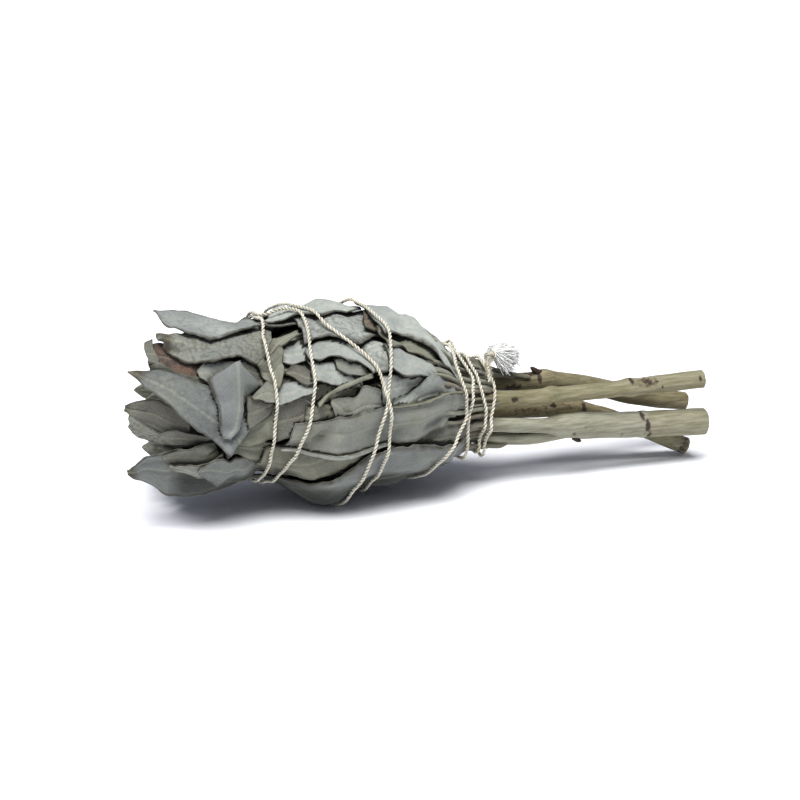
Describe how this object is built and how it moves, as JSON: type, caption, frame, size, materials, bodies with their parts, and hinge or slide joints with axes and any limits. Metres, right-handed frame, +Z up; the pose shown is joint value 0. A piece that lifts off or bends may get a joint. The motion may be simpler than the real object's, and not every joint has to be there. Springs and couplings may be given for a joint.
{
  "type": "sage bunch",
  "caption": "Tied smudge bundle of dried white sage lying on its side: grey-green leaves folded over their cut stems and wound with thin cotton twine.",
  "frame": {"origin": "on the surface the bundle lies on, under the middle of its bounding box", "axes": "+X along the bundle from the leaf tips to the cut stems, +Z up, -Y towards the side seen in the picture"},
  "size_m": [0.1424, 0.046, 0.0466],
  "materials": {
    "leaves": "matt, felted, dry",
    "stems": "dry bark, satin",
    "twine": "matt cotton"
  },
  "bodies": {
    "root": {"stem_front_top": "stems", "stem_front_low": "stems", "stem_back_low": "stems", "stem_back_top": "stems", "leaves_front_top": "leaves", "leaves_front_low": "leaves", "leaves_back_low": "leaves", "leaves_back_top": "leaves", "twine": "twine"}
  },
  "joints": []
}
